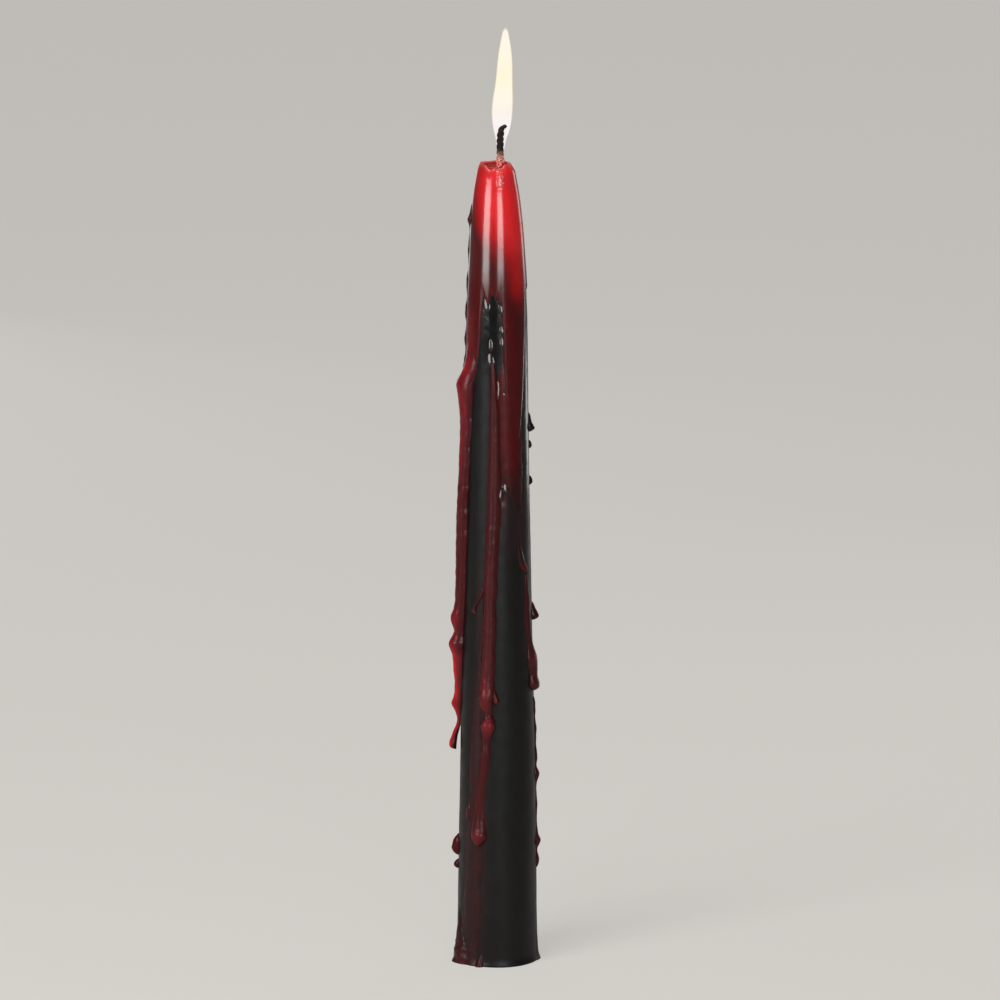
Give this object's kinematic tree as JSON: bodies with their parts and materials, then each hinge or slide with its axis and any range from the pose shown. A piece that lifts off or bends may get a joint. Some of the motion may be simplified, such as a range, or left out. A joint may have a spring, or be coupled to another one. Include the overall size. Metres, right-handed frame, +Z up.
{
  "type": "melted candle",
  "caption": "Lit dipped taper candle, black wax over a red core, its top melted bare and red wax run down its sides, standing on its flat base.",
  "frame": {"origin": "centre of the candle's flat base", "axes": "+Z up along the candle, -Y towards the front with the long run down its middle, +X to the right"},
  "size_m": [0.0248, 0.0234, 0.26],
  "materials": {
    "black_wax": "smooth dipped black wax with a dull sheen",
    "red_wax": "glossy molten red wax",
    "run_wax": "glossy dark red wax over black",
    "wick": "braided cotton, charred above and soaked in wax below",
    "flame": "luminous flame"
  },
  "bodies": {
    "root": {"black_wax_coat": "black_wax", "red_wax_core": "red_wax", "wick": "wick", "flame": "flame", "wax_run_left": "run_wax", "wax_run_left_upper": "run_wax", "wax_run_front": "run_wax", "wax_run_front_branch": "run_wax", "wax_film_right": "run_wax", "wax_run_right": "run_wax", "wax_run_right_lower": "run_wax", "wax_drip_right_1": "run_wax", "wax_drip_right_2": "run_wax", "wax_drip_right_3": "run_wax", "wax_drip_right_4": "run_wax", "wax_drip_left_1": "run_wax", "wax_drip_left_2": "run_wax", "wax_film_front_low": "run_wax", "wax_pool_left": "run_wax", "wax_pool_right": "run_wax", "wax_run_back_left": "run_wax", "wax_run_back_right": "run_wax"}
  },
  "joints": []
}
